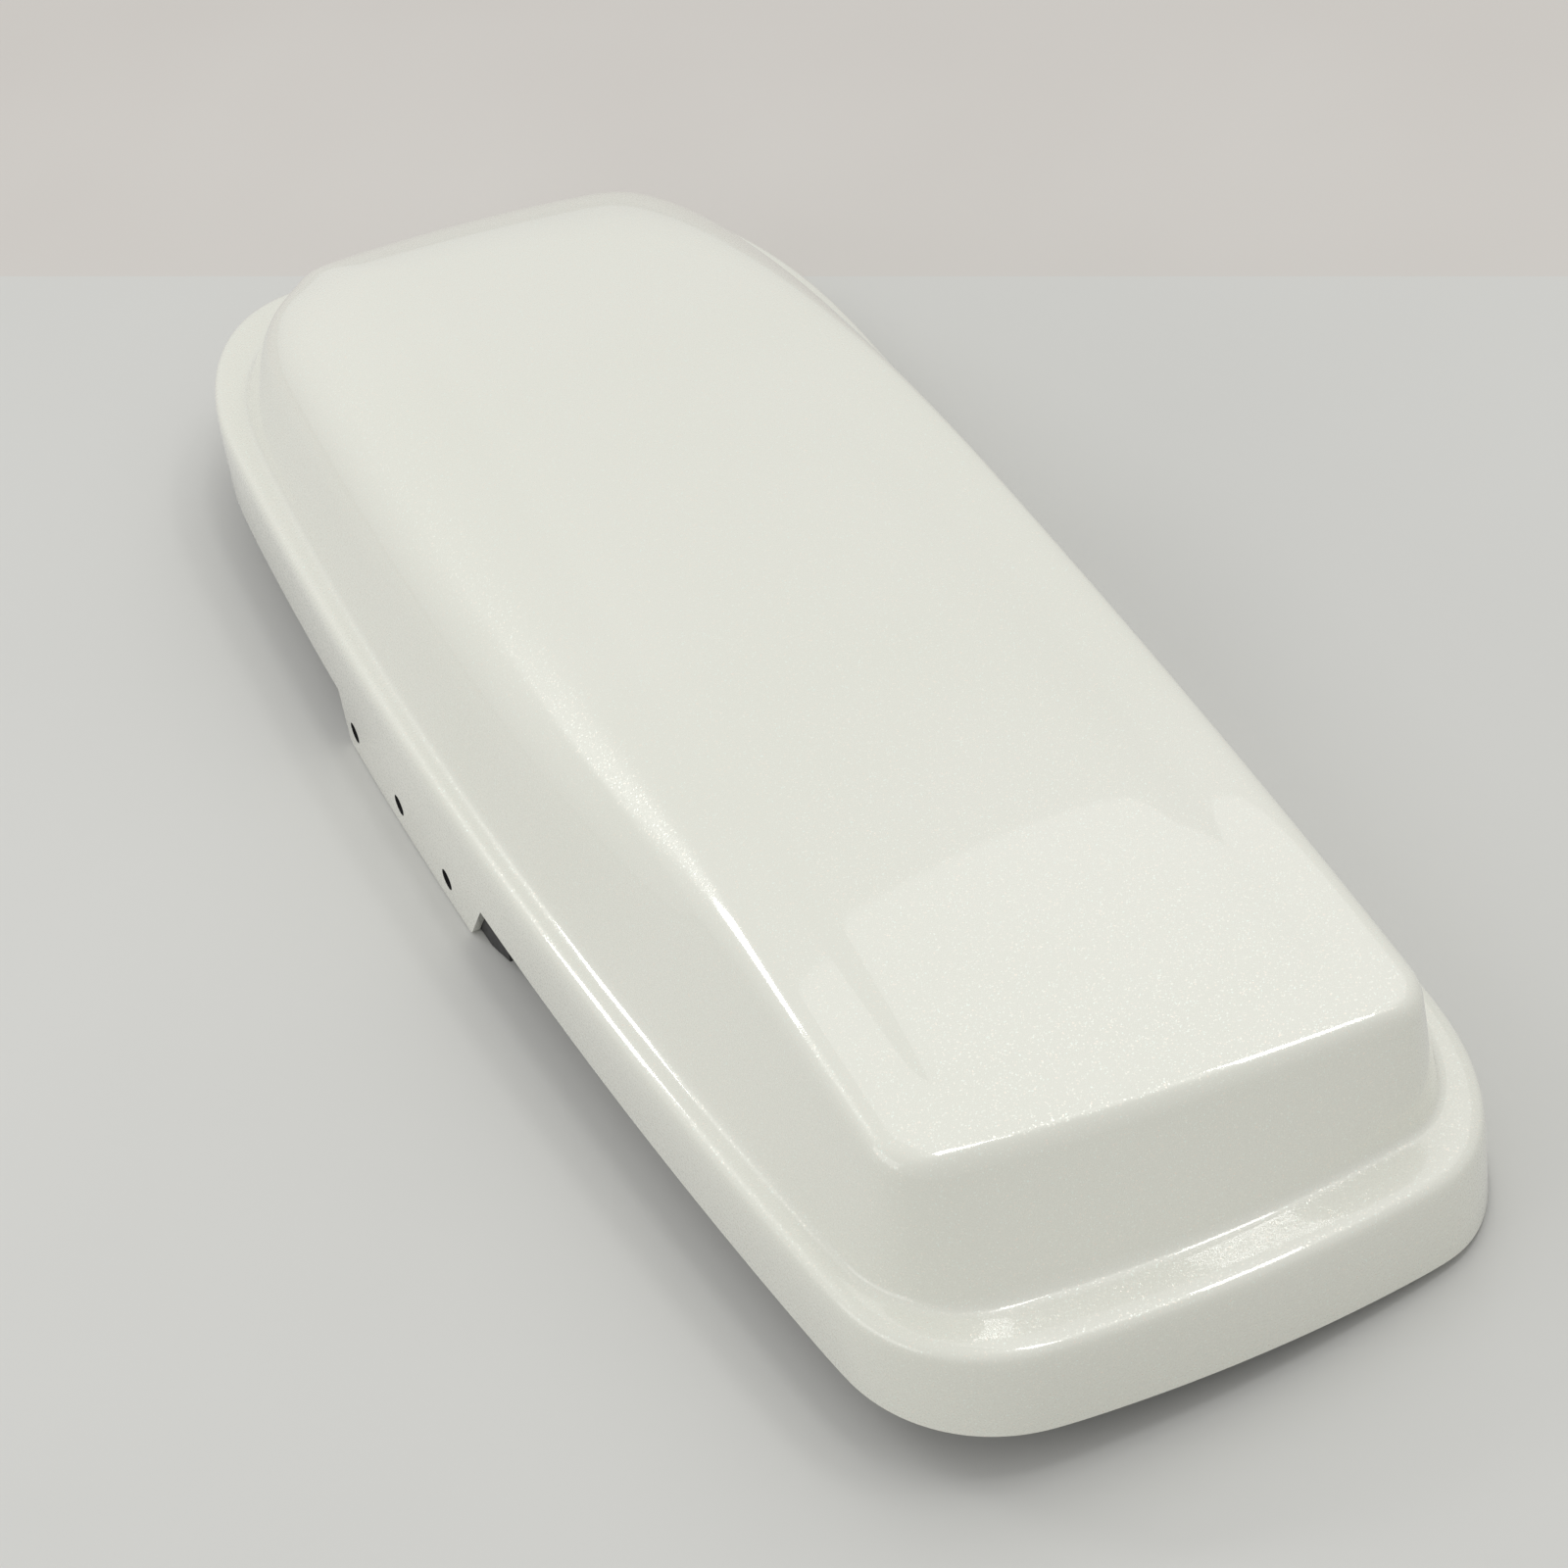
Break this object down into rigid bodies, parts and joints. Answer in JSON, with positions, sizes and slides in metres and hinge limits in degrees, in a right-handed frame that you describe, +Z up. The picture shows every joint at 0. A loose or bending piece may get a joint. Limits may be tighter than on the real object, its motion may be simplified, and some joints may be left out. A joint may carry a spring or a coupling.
{
  "type": "motorcycle saddlebag lid",
  "caption": "Domed pearl white lid for a hard touring saddlebag: ledge and sloped crown, outboard hinge tab with round holes, liner, seal and an inboard paddle latch.",
  "frame": {"origin": "under the middle of the lid's plan, level with the foot of the hinge tab", "axes": "+X inboard (latch side), -X outboard (hinge tab side), +Y front, +Z up; the rim lies in the plane z = 0.0235"},
  "size_m": [0.2422, 0.64, 0.1167],
  "materials": {
    "pearl_paint": "glossy pearl white paint with clear coat",
    "black_plastic": "fine moulded texture",
    "rubber": "matte",
    "zinc_steel": "bright zinc plate",
    "chrome": "polished",
    "black_steel": "satin black"
  },
  "bodies": {
    "lid": {"outer_shell": "pearl_paint", "inner_liner": "black_plastic", "hinge_backing_plate": "black_plastic", "hinge_insert_front": "black_steel", "hinge_insert_middle": "black_steel", "hinge_insert_rear": "black_steel", "lid_seal": "rubber", "latch_housing": "black_plastic", "lever_pin": "zinc_steel", "lever_spring": "zinc_steel", "shaft_bracket_front": "black_plastic", "shaft_bracket_rear": "black_plastic", "bracket_screw_front": "zinc_steel", "bracket_screw_rear": "zinc_steel", "shaft_spring": "zinc_steel", "housing_screw_front": "zinc_steel", "housing_screw_rear": "zinc_steel", "housing_nut_front": "zinc_steel", "housing_nut_rear": "zinc_steel"},
    "lever": {"latch_lever": "chrome"},
    "rod": {"push_rod": "zinc_steel"},
    "shaft": {"latch_shaft": "zinc_steel", "latch_crank": "black_steel", "latch_hook_front": "black_steel", "latch_hook_rear": "black_steel"},
    "lock": {"lock_cylinder": "chrome", "lock_cam": "zinc_steel"}
  },
  "joints": [
    {"name": "lever_turn", "type": "hinge", "parent": "lid", "child": "lever", "pos_m": [0.09894, -0.00577, 0.08514], "axis": [0.0148, -0.9999, 0], "range_deg": [0, 20], "stiffness_Nm_per_rad": 0.05, "springref_deg": -20.05},
    {"name": "rod_slide", "type": "slide", "parent": "lid", "child": "rod", "axis": [0.2638, 0.0039, -0.9646], "range_m": [0, 0.0114]},
    {"name": "shaft_turn", "type": "hinge", "parent": "lid", "child": "shaft", "pos_m": [0.09832, -0.00578, 0.04154], "axis": [0.0148, -0.9999, 0], "range_deg": [0, 36.2], "stiffness_Nm_per_rad": 0.05, "springref_deg": -20.05},
    {"name": "lock_turn", "type": "hinge", "parent": "lid", "child": "lock", "pos_m": [0.10743, 0.02836, 0.07879], "axis": [0.9645, 0.0143, 0.2639], "range_deg": [0, 90]}
  ],
  "couplings": [
    {"joint": "rod_slide", "follows": "lever_turn", "m_per_rad": 0.0322},
    {"joint": "shaft_turn", "follows": "lever_turn", "ratio": 1.8}
  ]
}
